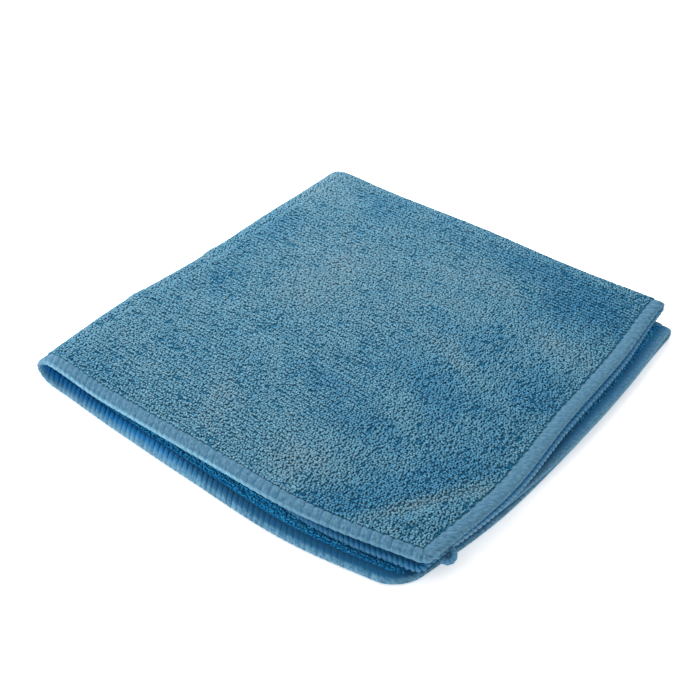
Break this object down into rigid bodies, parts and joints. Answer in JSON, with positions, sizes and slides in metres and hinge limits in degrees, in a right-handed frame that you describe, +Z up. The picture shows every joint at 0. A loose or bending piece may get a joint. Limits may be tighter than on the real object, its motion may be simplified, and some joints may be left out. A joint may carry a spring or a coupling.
{
  "type": "microfibre cloth",
  "caption": "Square terry cleaning cloth with an overlocked hem, folded in half twice into a soft flat stack of four layers.",
  "frame": {"origin": "on the flat underside, near the middle of the folded cloth", "axes": "+X from the left fold towards the right hems, +Y from the front hems towards the back fold, +Z up"},
  "size_m": [0.2058, 0.2113, 0.0139],
  "materials": {
    "terry": "matt blue polyester microfibre terry with a short loop pile"
  },
  "bodies": {
    "root": {"cloth": "terry"}
  },
  "joints": []
}
